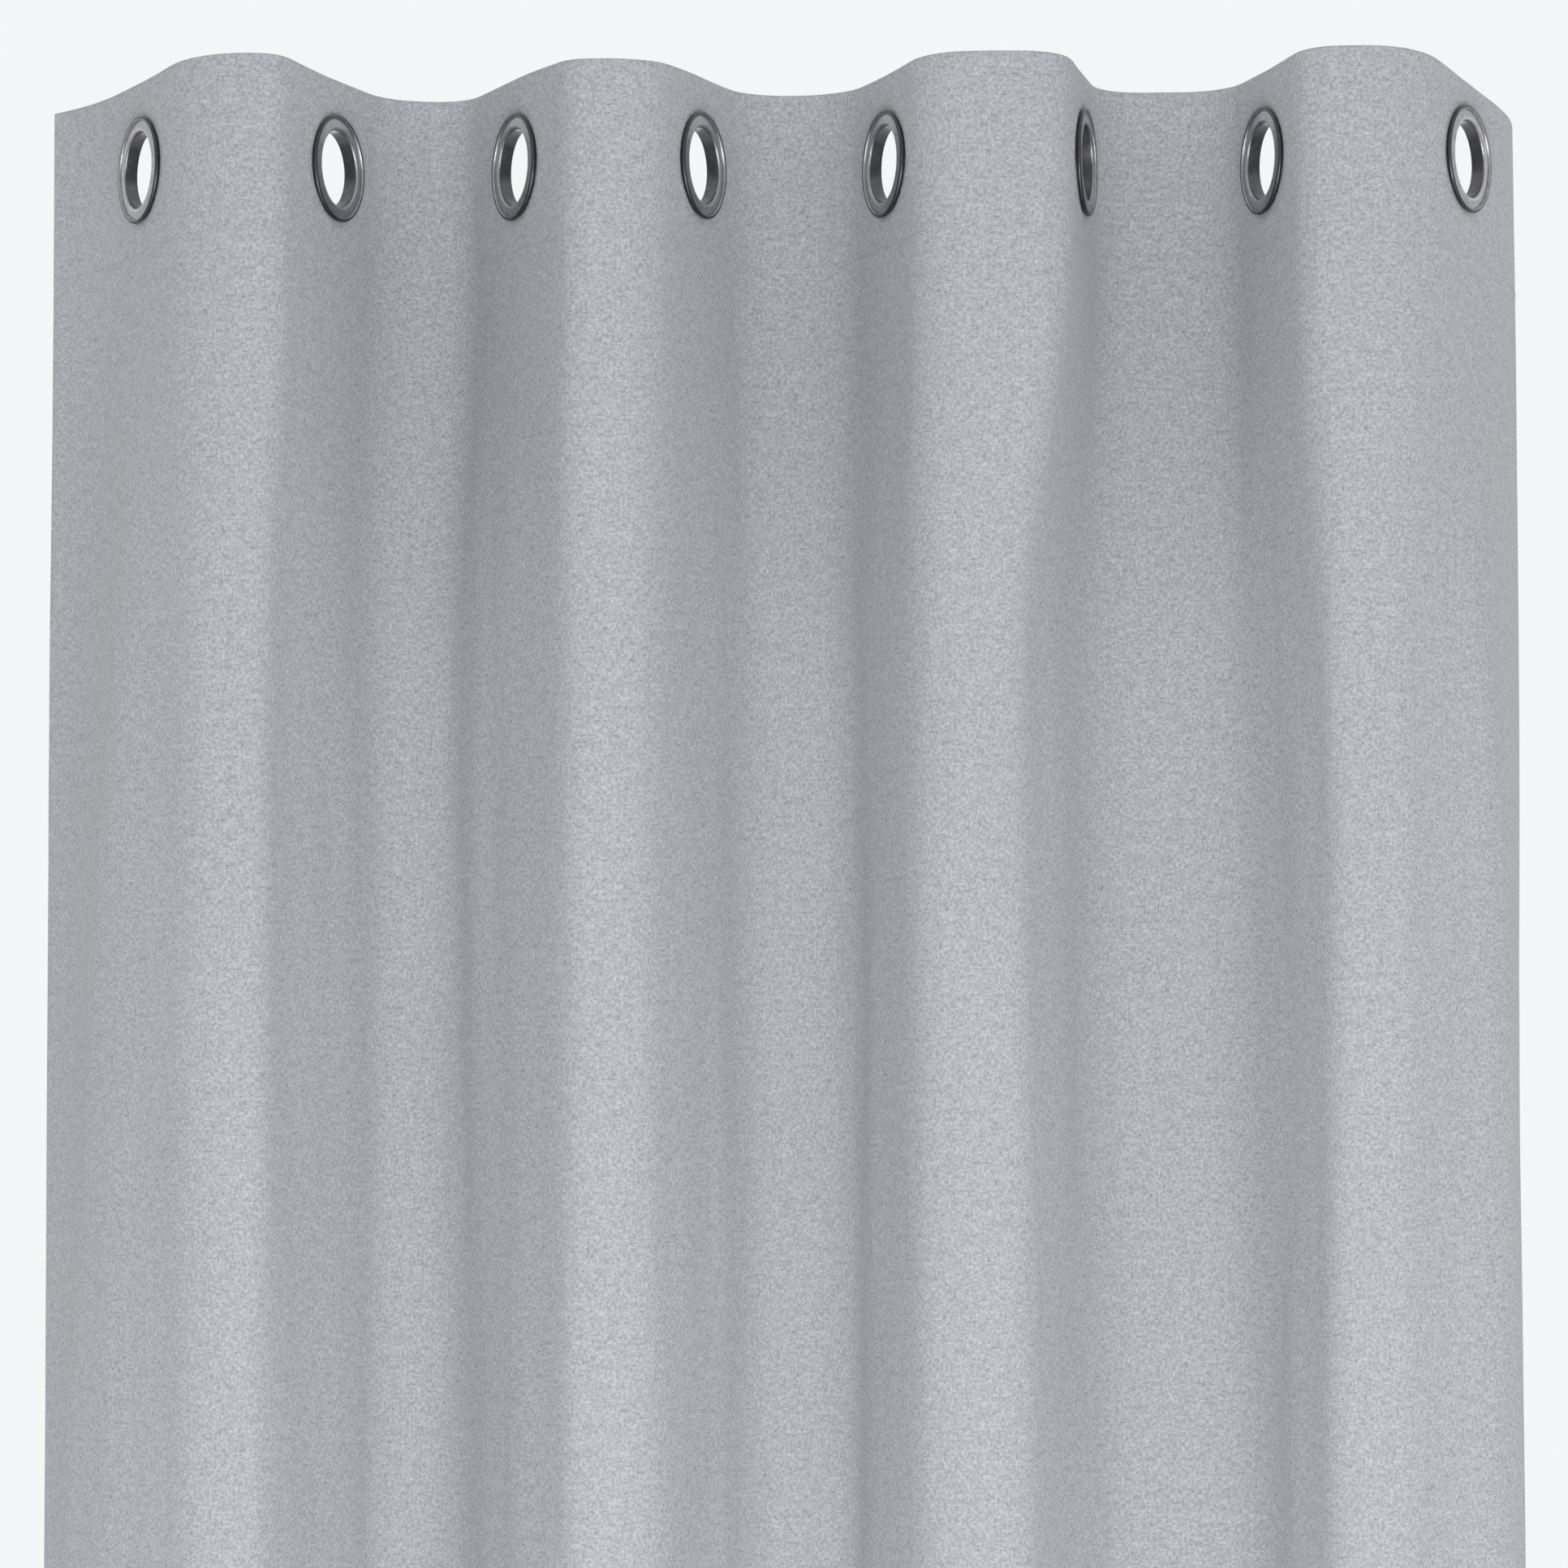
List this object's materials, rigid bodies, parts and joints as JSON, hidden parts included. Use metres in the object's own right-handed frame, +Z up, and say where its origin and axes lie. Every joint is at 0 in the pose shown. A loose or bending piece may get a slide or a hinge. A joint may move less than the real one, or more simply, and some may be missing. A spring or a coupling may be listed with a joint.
{
  "type": "eyelet curtain panel",
  "caption": "Full-length room curtain of grey woven cloth, with metal ring eyelets through its stiffened top hem, hanging in S-shaped folds that draw along a round rod.",
  "frame": {"origin": "centre of the first eyelet's bore, at the held end of the panel, on the rod's line", "axes": "+X along the rod towards the free end, -Y the face side of the cloth, +Z up"},
  "size_m": [0.8321, 0.1675, 2.5],
  "materials": {
    "cloth": "matt melange weave, light grey",
    "stiffener": "stiff non-woven band, off-white",
    "eyelet_metal": "satin gunmetal"
  },
  "bodies": {
    "edge": {"face_cloth_0": "cloth", "header_stiffener_0": "stiffener", "header_turning_0": "cloth", "bottom_hem_0": "cloth", "side_hem_left": "cloth"},
    "fold_1": {"face_cloth_1": "cloth", "header_stiffener_1": "stiffener", "header_turning_1": "cloth", "bottom_hem_1": "cloth", "eyelet_front_1": "eyelet_metal", "eyelet_back_1": "eyelet_metal"},
    "fold_2": {"face_cloth_2": "cloth", "header_stiffener_2": "stiffener", "header_turning_2": "cloth", "bottom_hem_2": "cloth", "eyelet_front_2": "eyelet_metal", "eyelet_back_2": "eyelet_metal"},
    "fold_3": {"face_cloth_3": "cloth", "header_stiffener_3": "stiffener", "header_turning_3": "cloth", "bottom_hem_3": "cloth", "eyelet_front_3": "eyelet_metal", "eyelet_back_3": "eyelet_metal"},
    "fold_4": {"face_cloth_4": "cloth", "header_stiffener_4": "stiffener", "header_turning_4": "cloth", "bottom_hem_4": "cloth", "eyelet_front_4": "eyelet_metal", "eyelet_back_4": "eyelet_metal"},
    "fold_5": {"face_cloth_5": "cloth", "header_stiffener_5": "stiffener", "header_turning_5": "cloth", "bottom_hem_5": "cloth", "eyelet_front_5": "eyelet_metal", "eyelet_back_5": "eyelet_metal"},
    "fold_6": {"face_cloth_6": "cloth", "header_stiffener_6": "stiffener", "header_turning_6": "cloth", "bottom_hem_6": "cloth", "eyelet_front_6": "eyelet_metal", "eyelet_back_6": "eyelet_metal"},
    "fold_7": {"face_cloth_7": "cloth", "header_stiffener_7": "stiffener", "header_turning_7": "cloth", "bottom_hem_7": "cloth", "eyelet_front_7": "eyelet_metal", "eyelet_back_7": "eyelet_metal"},
    "fold_8": {"face_cloth_8": "cloth", "header_stiffener_8": "stiffener", "header_turning_8": "cloth", "bottom_hem_8": "cloth", "eyelet_front_8": "eyelet_metal", "eyelet_back_8": "eyelet_metal", "side_hem_right": "cloth"}
  },
  "joints": [
    {"name": "draw", "type": "hinge", "parent": "edge", "child": "fold_1", "pos_m": [0, 0, 0], "axis": [0, 0, -1], "range_deg": [-10, 29]},
    {"name": "fold_line_1", "type": "hinge", "parent": "fold_1", "child": "fold_2", "pos_m": [0.04973, -0.06205, 0], "axis": [0, 0, 1], "range_deg": [-17.74, 50.5]},
    {"name": "fold_line_2", "type": "hinge", "parent": "fold_2", "child": "fold_3", "pos_m": [0.15991, 0.06462, 0], "axis": [0, 0, -1], "range_deg": [-17.05, 48.5]},
    {"name": "fold_line_3", "type": "hinge", "parent": "fold_3", "child": "fold_4", "pos_m": [0.25576, -0.06477, 0], "axis": [0, 0, 1], "range_deg": [-17.05, 48.5]},
    {"name": "fold_line_4", "type": "hinge", "parent": "fold_4", "child": "fold_5", "pos_m": [0.36095, 0.06237, 0], "axis": [0, 0, -1], "range_deg": [-15.33, 43.5]},
    {"name": "fold_line_5", "type": "hinge", "parent": "fold_5", "child": "fold_6", "pos_m": [0.45339, -0.05237, 0], "axis": [0, 0, 1], "range_deg": [-11.88, 33.5]},
    {"name": "fold_line_6", "type": "hinge", "parent": "fold_6", "child": "fold_7", "pos_m": [0.57827, 0.05729, 0], "axis": [0, 0, -1], "range_deg": [-10.5, 29.5]},
    {"name": "fold_line_7", "type": "hinge", "parent": "fold_7", "child": "fold_8", "pos_m": [0.68131, -0.05716, 0], "axis": [0, 0, 1], "range_deg": [-16.36, 46.5]}
  ],
  "couplings": [
    {"joint": "fold_line_1", "follows": "draw", "ratio": 1.7241},
    {"joint": "fold_line_2", "follows": "draw", "ratio": 1.6552},
    {"joint": "fold_line_3", "follows": "draw", "ratio": 1.6552},
    {"joint": "fold_line_4", "follows": "draw", "ratio": 1.4828},
    {"joint": "fold_line_5", "follows": "draw", "ratio": 1.1379},
    {"joint": "fold_line_6", "follows": "draw", "ratio": 1},
    {"joint": "fold_line_7", "follows": "draw", "ratio": 1.5862}
  ]
}
